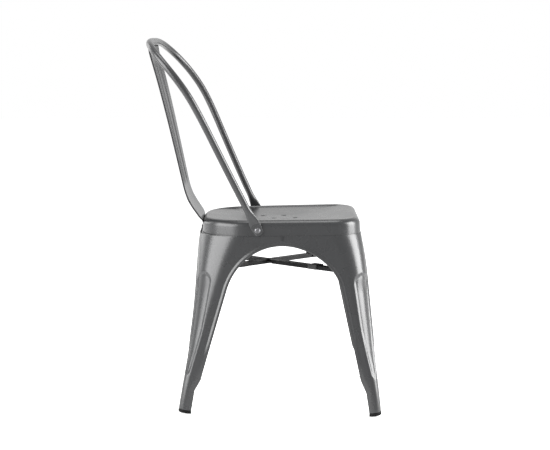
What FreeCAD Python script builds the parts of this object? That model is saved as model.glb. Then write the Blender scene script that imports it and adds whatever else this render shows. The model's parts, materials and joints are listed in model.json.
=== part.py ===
import FreeCAD
import Part
import math
import os

# Metal bistro chair: a pressed seat pan on four pressed sheet legs, a tube back hoop with a
# pressed splat, and a crossed brace under the seat.
#
# The frame: +Z up, the sitter faces -Y, and the chair is symmetric about X = 0 but for the
# drain holes and the two brace bars. The origin is on the floor, at the middle of the whole
# chair's box. Lengths along the chair are written as "forward": the distance in front of
# the seat's middle. Right and left are the sitter's.

Vector = FreeCAD.Vector
document = FreeCAD.newDocument("bistro_chair")

DIMENSIONS = [
    ("box_offset", 38.05, "how far the seat's middle stands in front of the origin"),
    ("sheet_thick", 1.4, "thickness of the pressed leg sheet"),
    ("pan_thick", 1.2, "thickness of the seat pan's sheet"),
    ("rim_height", 438.6, "height of the seat's rim at the middle of the seat"),
    ("seat_tilt", 0.87, "degrees by which the seat falls to the rear"),
    ("pan_front", 181.4, "seat pan, forward reach from its middle"),
    ("pan_rear", 179.6, "seat pan, rearward reach from its middle"),
    ("pan_half_front", 177.8, "seat pan, half its width at its front corners"),
    ("pan_half_rear", 158.2, "seat pan, half its width at its rear corners"),
    ("pan_skirt", 45.0, "height of the seat pan's skirt, the hidden part included"),
    ("skirt_shown", 35.0, "height of the skirt that shows above the legs"),
    ("dish_depth", 8.0, "depth of the dished seat below its rim, without the step"),
    ("dish_step", 3.0, "depth of the step inside the rim"),
    ("drain_radius", 5.0, "radius of a drain hole"),
    ("foot_top", 62.0, "height where a leg closes into its tubular foot"),
    ("glide_high", 7.0, "height of the plastic glide under a foot"),
    ("tube_radius", 8.0, "radius of the back hoop's tube"),
    ("hoop_bolt_high", 416.0, "height of the bolts that hold the hoop"),
    ("hoop_bolt_back", 51.1, "how far those bolts stand behind the seat's middle"),
    ("hoop_turn", 2.9, "degrees by which the hoop's crown is turned about the upright axis"),
    ("paddle_half", 12.0, "half the width of the hoop's flattened ends"),
    ("paddle_thick", 5.0, "thickness of the hoop's flattened ends"),
    ("bolt_radius", 4.0, "radius of the hoop bolts' shanks"),
    ("bolt_head_radius", 6.6, "radius of the hoop bolts' round heads"),
    ("bolt_head_high", 3.6, "height of the hoop bolts' round heads"),
    ("washer_radius", 8.0, "radius of the washers on the hoop bolts"),
    ("washer_thick", 1.6, "thickness of the washers on the hoop bolts"),
    ("nut_corner_radius", 7.5, "radius to the corners of the hoop bolts' nuts"),
    ("nut_high", 6.5, "height of the hoop bolts' nuts"),
    ("splat_ridge_high", 2.4, "height of the three ridges pressed in the splat"),
    ("splat_thick", 1.4, "thickness of the splat's sheet"),
    ("small_bolt_radius", 2.5, "radius of the splat's and the brace's bolts"),
    ("small_head_radius", 4.6, "radius of their heads"),
    ("small_head_high", 2.4, "height of their heads"),
    ("small_nut_corner", 4.6, "radius to the corners of their nuts"),
    ("small_nut_high", 4.0, "height of their nuts"),
    ("brace_wide", 20.0, "width of a brace bar"),
    ("brace_deep", 9.0, "height of a brace bar"),
    ("brace_wall", 1.6, "wall of a brace bar's channel section"),
    ("brace_high", 324.3, "height of the two brace bars' middle"),
    ("brace_back", 26.6, "how far the crossing stands behind the seat's middle"),
    ("brace_front_end", 149.0, "forward place of the bars' front ends"),
    ("brace_rear_end", 156.0, "how far behind the seat's middle the bars' rear ends are"),
    ("brace_angle", 44.0, "degrees between a brace bar and the forward direction"),
    ("pad_long", 26.0, "length of a stacking pad"),
    ("pad_wall", 2.4, "wall of a stacking pad round its bar"),
    ("pad_front", 80.5, "forward place of the front stacking pads"),
    ("pad_rear", -92.0, "forward place of the rear stacking pads"),
]

sheet = document.addObject("Spreadsheet::Sheet", "dimensions")
for row, (alias, value, note) in enumerate(DIMENSIONS, start=1):
    sheet.set(f"A{row}", alias)
    sheet.set(f"B{row}", str(value))
    sheet.set(f"C{row}", note)
    sheet.setAlias(f"B{row}", alias)
document.recompute()


def dim(alias):
    """The value of one driving dimension."""
    return float(sheet.get(alias))


# The legs' outer surface at five heights: (height, forward reach of the front face,
# rearward reach of the rear face, half widths at the front and rear corners, and the
# corner radii at the front and the rear).
LEG_STATIONS = [
    (410.0, 182.6, 185.4, 179.6, 160.0, 66.0, 116.0),
    (330.0, 193.8, 189.5, 187.0, 164.0, 48.0, 76.0),
    (190.0, 207.1, 201.9, 200.0, 171.5, 32.0, 36.0),
    (95.0, 217.4, 217.2, 211.0, 179.0, 20.0, 20.0),
    (0.0, 227.4, 233.4, 222.0, 187.0, 10.0, 10.0),
]
FAR = 400.0


def at(across, forward, up):
    """A point by its place across the chair, forward of the seat's middle and up."""
    return Vector(across, -(forward + dim("box_offset")), up)


def tilted(shape):
    """The shape turned about the seat's middle by the seat's fall to the rear."""
    copy = shape.copy()
    copy.rotate(at(0, 0, dim("rim_height")), Vector(1, 0, 0), -dim("seat_tilt"))
    return copy


def rounded_outline(corners, radii):
    """A closed wire through the corners, each rounded by its own radius."""
    ends = []
    for index, corner in enumerate(corners):
        before = (corners[index - 1] - corner).normalize()
        after = (corners[(index + 1) % len(corners)] - corner).normalize()
        half_angle = before.getAngle(after) / 2
        reach = radii[index] / math.tan(half_angle)
        bisector = (before + after).normalize()
        centre_distance = radii[index] / math.sin(half_angle)
        middle = corner + bisector * (centre_distance - radii[index])
        ends.append((corner + before * reach, middle, corner + after * reach))
    edges = []
    for index, (start, middle, end) in enumerate(ends):
        edges.append(Part.Arc(start, middle, end).toShape())
        next_start = ends[(index + 1) % len(ends)][0]
        edges.append(Part.LineSegment(end, next_start).toShape())
    return Part.Wire(edges)


def plan_outline(front, rear, half_front, half_rear, front_radius, rear_radius, height):
    """The chair's plan at one height: a trapezium with rounded corners."""
    corners = [
        at(half_front, front, height),
        at(half_rear, -rear, height),
        at(-half_rear, -rear, height),
        at(-half_front, front, height),
    ]
    return rounded_outline(corners, [front_radius, rear_radius, rear_radius, front_radius])


def tower(inset, flatten=0.0):
    """The solid inside the legs' outer surface, drawn in by inset. flatten adds to the
    corner radii, which flattens the corners."""
    wires = []
    for height, front, rear, half_front, half_rear, front_radius, rear_radius in LEG_STATIONS:
        wires.append(plan_outline(
            front - inset, rear - inset, half_front - inset, half_rear - inset,
            max(front_radius - inset, 2.0) + flatten, max(rear_radius - inset, 2.0) + flatten, height))
    return Part.makeLoft(wires, True, False)


def box_between(low, high):
    """An upright box between two opposite points, in any order."""
    least = Vector(min(low.x, high.x), min(low.y, high.y), min(low.z, high.z))
    most = Vector(max(low.x, high.x), max(low.y, high.y), max(low.z, high.z))
    size = most - least
    return Part.makeBox(size.x, size.y, size.z, least)


def bezier(*points):
    """A Bezier edge with the given poles."""
    curve = Part.BezierCurve()
    curve.setPoles(list(points))
    return curve.toShape()


def line(start, end):
    return Part.LineSegment(start, end).toShape()


# Each arch is drawn in its own face: (distance along the face, height). The opening is
# bounded by the foot, a short taper, the leg's straight edge and a Bezier crown.
def arch_face(place, low_side, high_side, crown):
    """The face that an arch removes. place turns a distance and a height into a point,
    and each side holds its foot, taper and shoulder points and the crown's pole lengths."""
    def side_edges(side):
        foot, ankle, taper, shoulder, rise, reach = side
        points = [place(foot[0], -10.0)]
        points.extend(place(*point) for point in (foot, ankle, taper, shoulder))
        lean = math.hypot(shoulder[0] - taper[0], shoulder[1] - taper[1])
        along = ((shoulder[0] - taper[0]) / lean, (shoulder[1] - taper[1]) / lean)
        first_pole = place(shoulder[0] + rise * along[0], shoulder[1] + rise * along[1])
        toward = -1.0 if shoulder[0] < crown[0] else 1.0
        second_pole = place(crown[0] + toward * reach, crown[1])
        edges = [line(points[index], points[index + 1]) for index in range(4)]
        edges.append(bezier(points[4], first_pole, second_pole, place(*crown)))
        return points[0], edges

    low_start, low_edges = side_edges(low_side)
    high_start, high_edges = side_edges(high_side)
    closing = line(low_start, high_start)
    return Part.Face(Part.Wire(Part.__sortEdges__(low_edges + high_edges + [closing])))


SIDE_ARCH_REAR = ((-203.0, 7.0), (-195.0, 53.0), (-181.5, 76.0), (-121.2, 281.0), 62.0, 58.0)
SIDE_ARCH_FRONT = ((198.6, 7.0), (191.5, 53.0), (179.5, 80.0), (135.5, 287.0), 52.0, 58.0)
SIDE_ARCH_CROWN = (5.0, 381.2)
FRONT_ARCH_SIDE = ((193.0, 7.0), (186.5, 53.0), (174.0, 80.0), (127.0, 287.0), 56.0, 62.0)
REAR_ARCH_SIDE = ((158.5, 7.0), (153.5, 53.0), (142.5, 78.0), (103.0, 280.0), 56.0, 50.0)
END_ARCH_CROWN = (0.0, 381.0)


def mirrored_side(side):
    """One side of an arch turned over to the other side."""
    points = [(-distance, height) for distance, height in side[:4]]
    return (*points, side[4], side[5])


GROWN_POINTS = 25


def grown(face, distance):
    """The face with its outline moved outwards, its curved edges redrawn as splines."""
    if not distance:
        return face
    edges = []
    for edge in face.makeOffset2D(distance, join=2).OuterWire.OrderedEdges:
        if isinstance(edge.Curve, Part.Line):
            edges.append(line(edge.Vertexes[0].Point, edge.Vertexes[-1].Point))
        else:
            curve = Part.BSplineCurve()
            curve.interpolate(edge.discretize(GROWN_POINTS))
            edges.append(curve.toShape())
    return Part.Face(Part.Wire(Part.__sortEdges__(edges)))


def side_arch(grow=0.0):
    """The space of both side arches, across the whole chair."""
    face = arch_face(lambda forward, up: at(-FAR, forward, up),
                     SIDE_ARCH_REAR, SIDE_ARCH_FRONT, SIDE_ARCH_CROWN)
    return grown(face, grow).extrude(Vector(2 * FAR, 0, 0))


def end_arch(side, sign, grow=0.0):
    """The space of the front arch (sign 1) or the rear arch (sign -1)."""
    face = arch_face(lambda across, up: at(across, 0, up),
                     mirrored_side(side), side, END_ARCH_CROWN)
    return grown(face, grow).extrude(Vector(0, -sign * FAR, 0))


RIM_WIDE = 9.0
RIM_PROUD = 1.6
RIM_DEEP = 3.4
FLUTE_OUTLINE = [(23.0, 297.0), (20.0, 190.0), (10.5, 99.0)]
FLUTE_STEP = 1.4
FLUTE_FLATTEN = 12.0
FLUTE_WALL = 1.4


def corner_point(height, forward_end):
    """The sharp corner (half width, forward) where a leg's two faces would meet."""
    for upper, lower in zip(LEG_STATIONS, LEG_STATIONS[1:]):
        if upper[0] >= height >= lower[0]:
            share = (upper[0] - height) / (upper[0] - lower[0])
            blend = [a + (b - a) * share for a, b in zip(upper, lower)]
            return (blend[3], blend[1]) if forward_end else (blend[4], -blend[2])
    raise ValueError("height outside the legs")


def flute_window(forward_end, grow=0.0):
    """The prism through which the flute of a right-hand leg's corner is pressed."""
    sign = 1.0 if forward_end else -1.0
    outward = Vector(-1, -sign, 0).normalize()
    along = Vector(-1, sign, 0).normalize()

    def place(distance, height):
        half, forward = corner_point(height, forward_end)
        corner = at(-half, forward, height)
        flat = corner - outward * (corner.dot(outward) - FAR)
        return flat + along * distance

    top_half, top_height = FLUTE_OUTLINE[0]
    low_half, low_height = FLUTE_OUTLINE[-1]
    left = [place(-half - grow, height) for half, height in FLUTE_OUTLINE]
    right = [place(half + grow, height) for half, height in FLUTE_OUTLINE]
    summit = place(0.0, top_height + top_half + grow)
    base = place(0.0, low_height - low_half * 1.3 - grow)
    edges = [line(left[index], left[index + 1]) for index in range(len(left) - 1)]
    edges.append(Part.Arc(left[-1], base, right[-1]).toShape())
    edges.extend(line(right[index + 1], right[index]) for index in reversed(range(len(right) - 1)))
    edges.append(Part.Arc(right[0], summit, left[0]).toShape())
    face = Part.Face(Part.Wire(Part.__sortEdges__(edges)))
    return face.extrude(outward * -FAR)


# The sheet's outer and inner surfaces, the rolled rims' outer and inner faces, and the
# floor of the flutes.
OUTER = tower(0.0)
INNER = tower(dim("sheet_thick"))
RIM_OUTER = tower(-RIM_PROUD)
RIM_INNER = tower(RIM_DEEP)
FLUTE_OUTER = tower(FLUTE_STEP, FLUTE_FLATTEN)
FLUTE_INNER = tower(FLUTE_STEP + dim("sheet_thick"), FLUTE_FLATTEN)
ARCH_SPLIT = 5.0
GAP = 0.2


def largest(shape):
    """The largest solid in a shape."""
    return max(shape.Solids, key=lambda solid: solid.Volume)


def below_seat(depth_high, depth_low):
    """A wide slab between two depths below the seat's rim, which tilts with the seat."""
    top = dim("rim_height")
    return tilted(box_between(at(-FAR, -FAR, top - depth_low), at(FAR, FAR, top - depth_high)))


def foot_axis(forward_end):
    """The middle of a right-hand foot's section at the glide and at its ankle."""
    side = SIDE_ARCH_FRONT if forward_end else SIDE_ARCH_REAR
    end = FRONT_ARCH_SIDE if forward_end else REAR_ARCH_SIDE
    middles = []
    for index, height in ((0, dim("glide_high")), (1, end[1][1])):
        half, forward = corner_point(height, forward_end)
        middles.append(at(-(half + end[index][0]) / 2, (forward + side[index][0]) / 2, height))
    return middles


def foot_bore(forward_end, radius, length):
    """A cylinder up the middle of a right-hand foot, from the glide's top face."""
    low, high = foot_axis(forward_end)
    axis = (high - low).normalize()
    return Part.makeCylinder(radius, length + 2.0, low - axis * 2.0, axis)


BORE_RADIUS = 8.5
BORE_LENGTH = 40.0


SPLIT_SPARE = 12.0
FOOT_SPARE = 0.5


def leg(forward_end):
    """A right-hand leg: pressed sheet with a flute down its corner, rolled rims along its
    two arches, and a closed foot with a bore for the glide. It is drawn a little too large
    and trimmed last, where it butts against its neighbours."""
    reach = FAR if forward_end else -FAR
    side = FRONT_ARCH_SIDE if forward_end else REAR_ARCH_SIDE
    sign = 1.0 if forward_end else -1.0
    foot_top = dim("foot_top")
    wide = box_between(at(-FAR, ARCH_SPLIT - SPLIT_SPARE * sign, foot_top), at(SPLIT_SPARE, reach, 500.0))
    exact = box_between(at(-FAR, ARCH_SPLIT, 0.0), at(0, reach, 500.0))
    exact = exact.common(below_seat(dim("skirt_shown"), FAR + 100.0))
    foot_box = box_between(at(-FAR, 0, dim("glide_high")), at(0, reach, foot_top + FOOT_SPARE))

    window = flute_window(forward_end)
    ring = flute_window(forward_end, FLUTE_WALL).cut(window)
    panel = OUTER.cut(INNER).common(wide).cut(window.cut(FLUTE_OUTER))
    flute = FLUTE_OUTER.cut(FLUTE_INNER).common(window)
    walls = OUTER.cut(FLUTE_INNER).common(ring)
    rim_shell = RIM_OUTER.cut(RIM_INNER).common(wide)
    rims = [rim_shell.common(side_arch(RIM_WIDE)), rim_shell.common(end_arch(side, sign, RIM_WIDE))]
    body = panel.fuse([flute, walls] + rims + [OUTER.common(foot_box)]).common(exact)
    body = body.cut(side_arch()).cut(end_arch(side, sign))
    return largest(body.cut(foot_bore(forward_end, BORE_RADIUS, BORE_LENGTH)).removeSplitter())


def mirrored(shape):
    """The shape on the chair's other side."""
    return shape.mirror(Vector(0, 0, 0), Vector(1, 0, 0))


SUB_PARTS = []


def add_part(name, shape):
    """A sub-part from a ready shape."""
    feature = document.addObject("Part::Feature", name)
    feature.Label = name
    feature.Shape = shape
    feature.Placement = FreeCAD.Placement()
    SUB_PARTS.append(feature)
    return feature


def add_pair(left_name, right_name, right_shape):
    """The right-hand sub-part and its mirror image on the left."""
    add_part(right_name, right_shape)
    add_part(left_name, mirrored(right_shape))


add_pair("front_left_leg", "front_right_leg", leg(True))
add_pair("rear_left_leg", "rear_right_leg", leg(False))


# Seat pan. It is drawn level and then tilted with the seat.
PAN_CORNERS = (64.6, 114.6)
PAN_EDGE = 14.0
RIM_FLAT = 19.0
DISH_MIDDLE = (34.0, 40.0, 34.0, 28.0, 14.0, 14.0)
DRAIN_HOLES = [(25.0, -41.6), (25.0, 8.6), (-25.0, -16.0), (-25.0, 34.7)]
SKIRT_SHORT = 40.6


def pan_outline(inset, height):
    front_radius, rear_radius = PAN_CORNERS
    return plan_outline(dim("pan_front") - inset, dim("pan_rear") - inset,
                        dim("pan_half_front") - inset, dim("pan_half_rear") - inset,
                        front_radius - inset, rear_radius - inset, height)


def pan_prism(inset, drop):
    """The block inside the pan's outline, with its top edge rounded."""
    top = dim("rim_height")
    low = top - SKIRT_SHORT - inset
    block = Part.Face(pan_outline(inset, low)).extrude(Vector(0, 0, top - drop - low))
    edges = [edge for edge in block.Edges if edge.BoundBox.ZMin > top - drop - 0.01]
    return block.makeFillet(PAN_EDGE - inset, edges)


def dish_space(grow):
    """The space above the dished seat, or with grow the space above its underside."""
    level = dim("rim_height") - dim("dish_step") - grow
    rim = pan_outline(RIM_FLAT - grow, level)
    forward, rearward, half_front, half_rear, front_radius, rear_radius = DISH_MIDDLE
    floor = plan_outline(forward, rearward, half_front, half_rear, front_radius, rear_radius,
                         level - dim("dish_depth"))
    step = Part.Face(rim).extrude(Vector(0, 0, 20.0))
    return step.fuse(Part.makeLoft([rim, floor], True, True))


def pan_side_half(forward):
    """Half the width of the pan's outer side at a forward place."""
    share = (forward + dim("pan_rear")) / (dim("pan_front") + dim("pan_rear"))
    return dim("pan_half_rear") + share * (dim("pan_half_front") - dim("pan_half_rear"))


SIDE_SLOPE = math.atan2(dim("pan_half_front") - dim("pan_half_rear"), dim("pan_front") + dim("pan_rear"))
# The outward normal of the pan's right-hand side, and where the hoop's bolt meets that side.
SIDE_NORMAL = Vector(-math.cos(SIDE_SLOPE), math.sin(SIDE_SLOPE), 0)
HOOP_BOLT = at(-pan_side_half(-dim("hoop_bolt_back")), -dim("hoop_bolt_back"), dim("hoop_bolt_high"))
SPLAT_BOLT_HALF = 26.0
SPLAT_BOLT_HIGH = 409.5
CLEARANCE = 0.15


def pan_envelope():
    """The space that the pan's outside fills, with a working gap round it."""
    low = dim("rim_height") - dim("skirt_shown") - 5.0
    block = Part.Face(pan_outline(-GAP, low)).extrude(Vector(0, 0, dim("skirt_shown") + 5.0))
    return tilted(block)


def skirt_back(height):
    """The forward place of the pan's rear skirt at a height, on the chair's middle line."""
    drop = dim("rim_height") - height
    return -dim("pan_rear") + math.tan(math.radians(dim("seat_tilt"))) * (drop - 2.7)


def seat_pan():
    """The pressed pan: a dished top with four drain holes and a skirt whose lower edge
    steps out to the legs' inner faces."""
    thick = dim("pan_thick")
    block = pan_prism(0.0, 0.0).cut(dish_space(0.0))
    hollow = pan_prism(thick, thick).cut(dish_space(thick))
    pan = tilted(block.cut(hollow))
    legs_inside = tower(dim("sheet_thick") + GAP)
    lip_inside = tower(dim("sheet_thick") + GAP + thick)
    hollow_column = tilted(Part.Face(pan_outline(thick, 300.0)).extrude(Vector(0, 0, 150.0)))
    lip = legs_inside.cut(lip_inside).common(below_seat(SKIRT_SHORT - thick, dim("pan_skirt")))
    ledge = legs_inside.cut(hollow_column).common(below_seat(SKIRT_SHORT - thick, SKIRT_SHORT))
    pan = pan.fuse([lip, ledge])
    holes = [Part.makeCylinder(dim("drain_radius"), 60.0, at(across, forward, 400.0))
             for across, forward in DRAIN_HOLES]
    bolt_hole = Part.makeCylinder(dim("bolt_radius") + CLEARANCE, 20.0, HOOP_BOLT - SIDE_NORMAL * 10, SIDE_NORMAL)
    holes.extend([bolt_hole, mirrored(bolt_hole)])
    for across in (-SPLAT_BOLT_HALF, SPLAT_BOLT_HALF):
        start = at(across, -dim("pan_rear") + 10.0, SPLAT_BOLT_HIGH)
        holes.append(Part.makeCylinder(dim("small_bolt_radius") + CLEARANCE, 20.0, start, Vector(0, 1, 0)))
    return largest(pan.cut(holes))


add_part("seat_pan", seat_pan())


# Back hoop: the height, the distance behind the seat's middle and the half width of its
# centre line above the bolts.
HOOP_CENTRE_LINE = [
    (440.0, 62.3, 168.8), (470.0, 76.8, 171.4), (500.0, 91.3, 175.2), (560.0, 119.5, 184.0),
    (620.0, 147.1, 192.6), (680.0, 175.2, 202.0), (720.0, 196.7, 204.9), (750.0, 216.8, 203.0),
    (775.0, 236.4, 196.8), (795.0, 253.7, 185.4), (810.0, 267.4, 169.5), (820.0, 276.9, 151.5),
    (828.0, 284.3, 128.3), (833.0, 289.2, 101.0), (835.5, 291.6, 74.2),
]
HOOP_CROWN = (836.8, 292.8)
HOOP_SECTIONS = 61
FLAT_UNTIL = 430.0
ROUND_FROM = 462.0


def turned(across, forward, height):
    """A point of the hoop or the splat, with the back's slight turn, which grows with height."""
    share = (height - dim("hoop_bolt_high")) / (HOOP_CROWN[0] - dim("hoop_bolt_high"))
    turn = math.radians(dim("hoop_turn")) * min(max(share, 0.0), 1.0)
    return at(across, forward + across * turn, height)


def hoop_line():
    """The hoop's centre line from the right-hand end over the crown to the left-hand end."""
    stand_off = SIDE_NORMAL * (dim("paddle_thick") / 2 + GAP)
    bolt = HOOP_BOLT + stand_off
    right = [turned(-half, -back, height) for height, back, half in HOOP_CENTRE_LINE]
    left = [turned(half, -back, height) for height, back, half in reversed(HOOP_CENTRE_LINE)]
    lower_end = bolt + (bolt - right[0]).normalize() * (dim("paddle_half") + 3.0)
    right = [lower_end, bolt] + right
    left = left + [Vector(-bolt.x, bolt.y, bolt.z), Vector(-lower_end.x, lower_end.y, lower_end.z)]
    crown = at(0, -HOOP_CROWN[1], HOOP_CROWN[0])
    curve = Part.BSplineCurve()
    curve.interpolate(right + [crown] + left)
    return curve


def hoop_section(point, tangent, flatness):
    """A closed curve round a point of the centre line: a circle, or with flatness 1 the
    hoop's flattened end."""
    middle = at(0, -150.0, 640.0)
    side = Vector(SIDE_NORMAL)
    if point.x > 0:
        side.x = -side.x
    outward = (point - middle).normalize() * (1 - flatness) + side * flatness
    across = (outward - tangent * outward.dot(tangent)).normalize()
    along = tangent.cross(across)
    half_thick = dim("tube_radius") + (dim("paddle_thick") / 2 - dim("tube_radius")) * flatness
    half_wide = dim("tube_radius") + (dim("paddle_half") - dim("tube_radius")) * flatness
    power = 1.0 - 0.5 * flatness
    points = []
    for step in range(24):
        angle = 2 * math.pi * step / 24
        cosine, sine = math.cos(angle), math.sin(angle)
        offset_thick = math.copysign(abs(cosine) ** power, cosine) * half_thick
        offset_wide = math.copysign(abs(sine) ** power, sine) * half_wide
        points.append(point + across * offset_thick + along * offset_wide)
    curve = Part.BSplineCurve()
    curve.interpolate(Points=points, PeriodicFlag=True)
    return Part.Wire(curve.toShape())


def back_hoop():
    """The bent tube with its two flattened, drilled and rounded ends."""
    curve = hoop_line()
    spine = curve.toShape()
    wires = []
    for step in range(HOOP_SECTIONS):
        parameter = spine.getParameterByLength(spine.Length * step / (HOOP_SECTIONS - 1))
        point = curve.value(parameter)
        tangent = curve.tangent(parameter)[0]
        share = (ROUND_FROM - point.z) / (ROUND_FROM - FLAT_UNTIL)
        share = min(max(share, 0.0), 1.0)
        wires.append(hoop_section(point, tangent, share * share * (3 - 2 * share)))
    tube = Part.makeLoft(wires, True, False)
    down = (curve.value(curve.FirstParameter) - HOOP_BOLT).normalize()
    down = (down - SIDE_NORMAL * down.dot(SIDE_NORMAL)).normalize()
    block = Part.makeBox(60.0, 60.0, 60.0, Vector(-30.0, -30.0, 0.0))
    block.Placement = FreeCAD.Placement(HOOP_BOLT, FreeCAD.Rotation(SIDE_NORMAL, Vector(), down, "ZXY"))
    round_end = Part.makeCylinder(dim("paddle_half"), 60.0, HOOP_BOLT - SIDE_NORMAL * 30, SIDE_NORMAL)
    hole = Part.makeCylinder(dim("bolt_radius") + CLEARANCE, 60.0, HOOP_BOLT - SIDE_NORMAL * 30, SIDE_NORMAL)
    for tool in (block.cut(round_end), hole):
        tube = tube.cut(tool).cut(mirrored(tool))
    outer_face = HOOP_BOLT + SIDE_NORMAL * (dim("paddle_thick") + 1.5 * GAP)
    spot_face = Part.makeCylinder(dim("paddle_half") + 4.0, 12.0, outer_face, SIDE_NORMAL)
    return largest(tube.cut([spot_face, mirrored(spot_face), pan_envelope()]))


hoop = add_part("back_hoop", back_hoop())


# Back splat: the height and distance behind the seat's middle of its middle line, its half
# width, and how far its edges stand in front of its middle.
SPLAT_STATIONS = [
    (402.6, 180.05, 40.0, 0.0), (408.0, 180.13, 42.0, 0.0), (414.0, 180.22, 46.0, 0.0),
    (419.0, 180.4, 53.0, 0.0), (424.0, 180.9, 65.0, 0.1), (430.0, 182.4, 77.0, 0.3),
    (436.0, 185.6, 83.0, 0.6), (442.0, 189.9, 85.5, 1.0), (450.0, 196.0, 86.5, 1.5),
    (459.0, 202.6, 87.0, 1.9), (467.0, 207.8, 87.0, 2.3), (476.0, 213.2, 86.0, 2.7),
    (488.0, 218.2, 84.8, 3.1), (499.0, 221.8, 84.0, 3.3), (515.4, 226.0, 83.4, 3.6),
    (562.1, 236.8, 83.0, 4.2), (608.6, 247.2, 83.5, 4.4), (655.0, 257.8, 84.2, 4.6),
    (701.3, 268.8, 85.0, 4.8), (747.4, 280.4, 85.6, 5.0), (780.0, 289.2, 86.0, 5.1),
    (807.1, 296.6, 86.3, 5.2), (822.0, 299.4, 86.5, 5.2), (846.0, 300.6, 86.6, 5.2),
]
SPLAT_FACE = -skirt_back(SPLAT_BOLT_HIGH)
RIDGE_LOW = 496.0
RIDGE_TOP = 806.0
RIDGE_FADE = 22.0
RIDGE_PLACES = (-0.56, 0.0, 0.56)
RIDGE_HALF = 0.17
SPLAT_POINTS = 45


def ridge_share(share, height):
    """How much of a ridge's height stands at a share of the splat's half width."""
    inside = min(height - RIDGE_LOW, RIDGE_TOP - height)
    fade = min(max(inside / RIDGE_FADE, 0.0), 1.0)
    distance = min(abs(share - place) for place in RIDGE_PLACES)
    if distance >= RIDGE_HALF:
        return 0.0
    return fade * math.cos(math.pi / 2 * distance / RIDGE_HALF) ** 2


def splat_section(index):
    """The closed outline of the splat's sheet at one station."""
    height, back, half, bow = SPLAT_STATIONS[index]
    before = SPLAT_STATIONS[max(index - 1, 0)]
    after = SPLAT_STATIONS[min(index + 1, len(SPLAT_STATIONS) - 1)]
    tangent = (at(0, -after[1], after[0]) - at(0, -before[1], before[0])).normalize()
    front = Vector(1, 0, 0).cross(tangent)
    if front.y > 0:
        front = front * -1
    middle = at(0, -back, height)
    faces = []
    for offset in (dim("splat_thick") / 2, -dim("splat_thick") / 2):
        points = []
        for step in range(SPLAT_POINTS):
            share = 2 * step / (SPLAT_POINTS - 1) - 1
            lift = bow * share * share + dim("splat_ridge_high") * ridge_share(share, height)
            across = half * share
            side_shift = turned(across, -back, height) - at(across, -back, height)
            points.append(middle + Vector(across, 0, 0) + side_shift + front * (offset + lift))
        curve = Part.BSplineCurve()
        curve.interpolate(points)
        faces.append((points, curve.toShape()))
    (front_points, front_edge), (rear_points, rear_edge) = faces
    edges = [front_edge, line(front_points[-1], rear_points[-1]), rear_edge,
             line(rear_points[0], front_points[0])]
    return Part.Wire(edges)


def back_splat():
    """The pressed splat, its top edge fitted under the hoop's crown."""
    sheet_body = Part.makeLoft([splat_section(index) for index in range(len(SPLAT_STATIONS))], True, False)
    curve = hoop_line()
    path = Part.Wire(curve.toShape())
    start = Part.makeCircle(dim("tube_radius") + 3 * GAP, curve.value(curve.FirstParameter),
                            curve.tangent(curve.FirstParameter)[0])
    round_tube = path.makePipeShell([Part.Wire(start)], True, False)
    above_crown = box_between(at(-FAR, -FAR, HOOP_CROWN[0]), at(FAR, FAR, HOOP_CROWN[0] + 60))
    tools = [round_tube, hoop.Shape, pan_envelope(), above_crown]
    for across in (-SPLAT_BOLT_HALF, SPLAT_BOLT_HALF):
        start = at(across, -dim("pan_rear") + 10.0, SPLAT_BOLT_HIGH)
        tools.append(Part.makeCylinder(dim("small_bolt_radius") + CLEARANCE, 20.0, start, Vector(0, 1, 0)))
        seat = at(across, -SPLAT_FACE - dim("splat_thick") - 1.5 * GAP, SPLAT_BOLT_HIGH)
        tools.append(Part.makeCylinder(dim("small_head_radius") + 1.0, 8.0, seat, Vector(0, 1, 0)))
    return largest(sheet_body.cut(tools))


add_part("back_splat", back_splat())


# Fasteners and the brace are drawn with bound primitives.
def bound(kind, name, **sizes):
    """A primitive whose sizes are numbers or expressions."""
    item = document.addObject(kind, name)
    for prop, size in sizes.items():
        if isinstance(size, str):
            item.setExpression(prop, size)
        else:
            setattr(item, prop, size)
    return item


def placed(item, base, rotation=None):
    item.Placement = FreeCAD.Placement(base, rotation or FreeCAD.Rotation())
    return item


def cut(name, base, tool):
    item = document.addObject("Part::Cut", name)
    item.Base = base
    item.Tool = tool
    return item


def fused(name, items):
    item = document.addObject("Part::MultiFuse", name)
    item.Shapes = items
    return item


def group(name, items):
    """One sub-part that holds several identical solids."""
    item = document.addObject("Part::Compound", name)
    item.Label = name
    item.Links = items
    SUB_PARTS.append(item)
    return item


def round_bolt(name, radius, head_radius, head_high, length):
    """A bolt along +Z: its shank ends at z = 0 and its round head stands above it."""
    shank = bound("Part::Cylinder", name + "_shank", Radius=radius, Height=length)
    placed(shank, Vector(0, 0, -length))
    collar = bound("Part::Cylinder", name + "_collar", Radius=head_radius, Height=f"{head_high} * 0.4")
    dome = bound("Part::Cone", name + "_dome", Radius1=head_radius, Radius2=f"{head_radius} * 0.6",
                 Height=f"{head_high} * 0.6")
    dome.Placement.Base = Vector(0, 0, dim(head_high.split(".")[1]) * 0.4)
    return fused(name, [shank, collar, dome])


def hex_nut(name, corner_radius, bore, height):
    """A nut along +Z from z = 0."""
    block = bound("Part::Prism", name + "_block", Polygon=6, Circumradius=corner_radius, Height=height)
    hole = bound("Part::Cylinder", name + "_hole", Radius=f"{bore} + {CLEARANCE}", Height=height)
    return cut(name, block, hole)


def flat_washer(name):
    disc = bound("Part::Cylinder", name + "_disc", Radius="dimensions.washer_radius",
                 Height="dimensions.washer_thick")
    hole = bound("Part::Cylinder", name + "_hole", Radius=f"dimensions.bolt_radius + {CLEARANCE}",
                 Height="dimensions.washer_thick")
    return cut(name, disc, hole)


def axis_rotation(direction):
    return FreeCAD.Rotation(Vector(0, 0, 1), direction)


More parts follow.
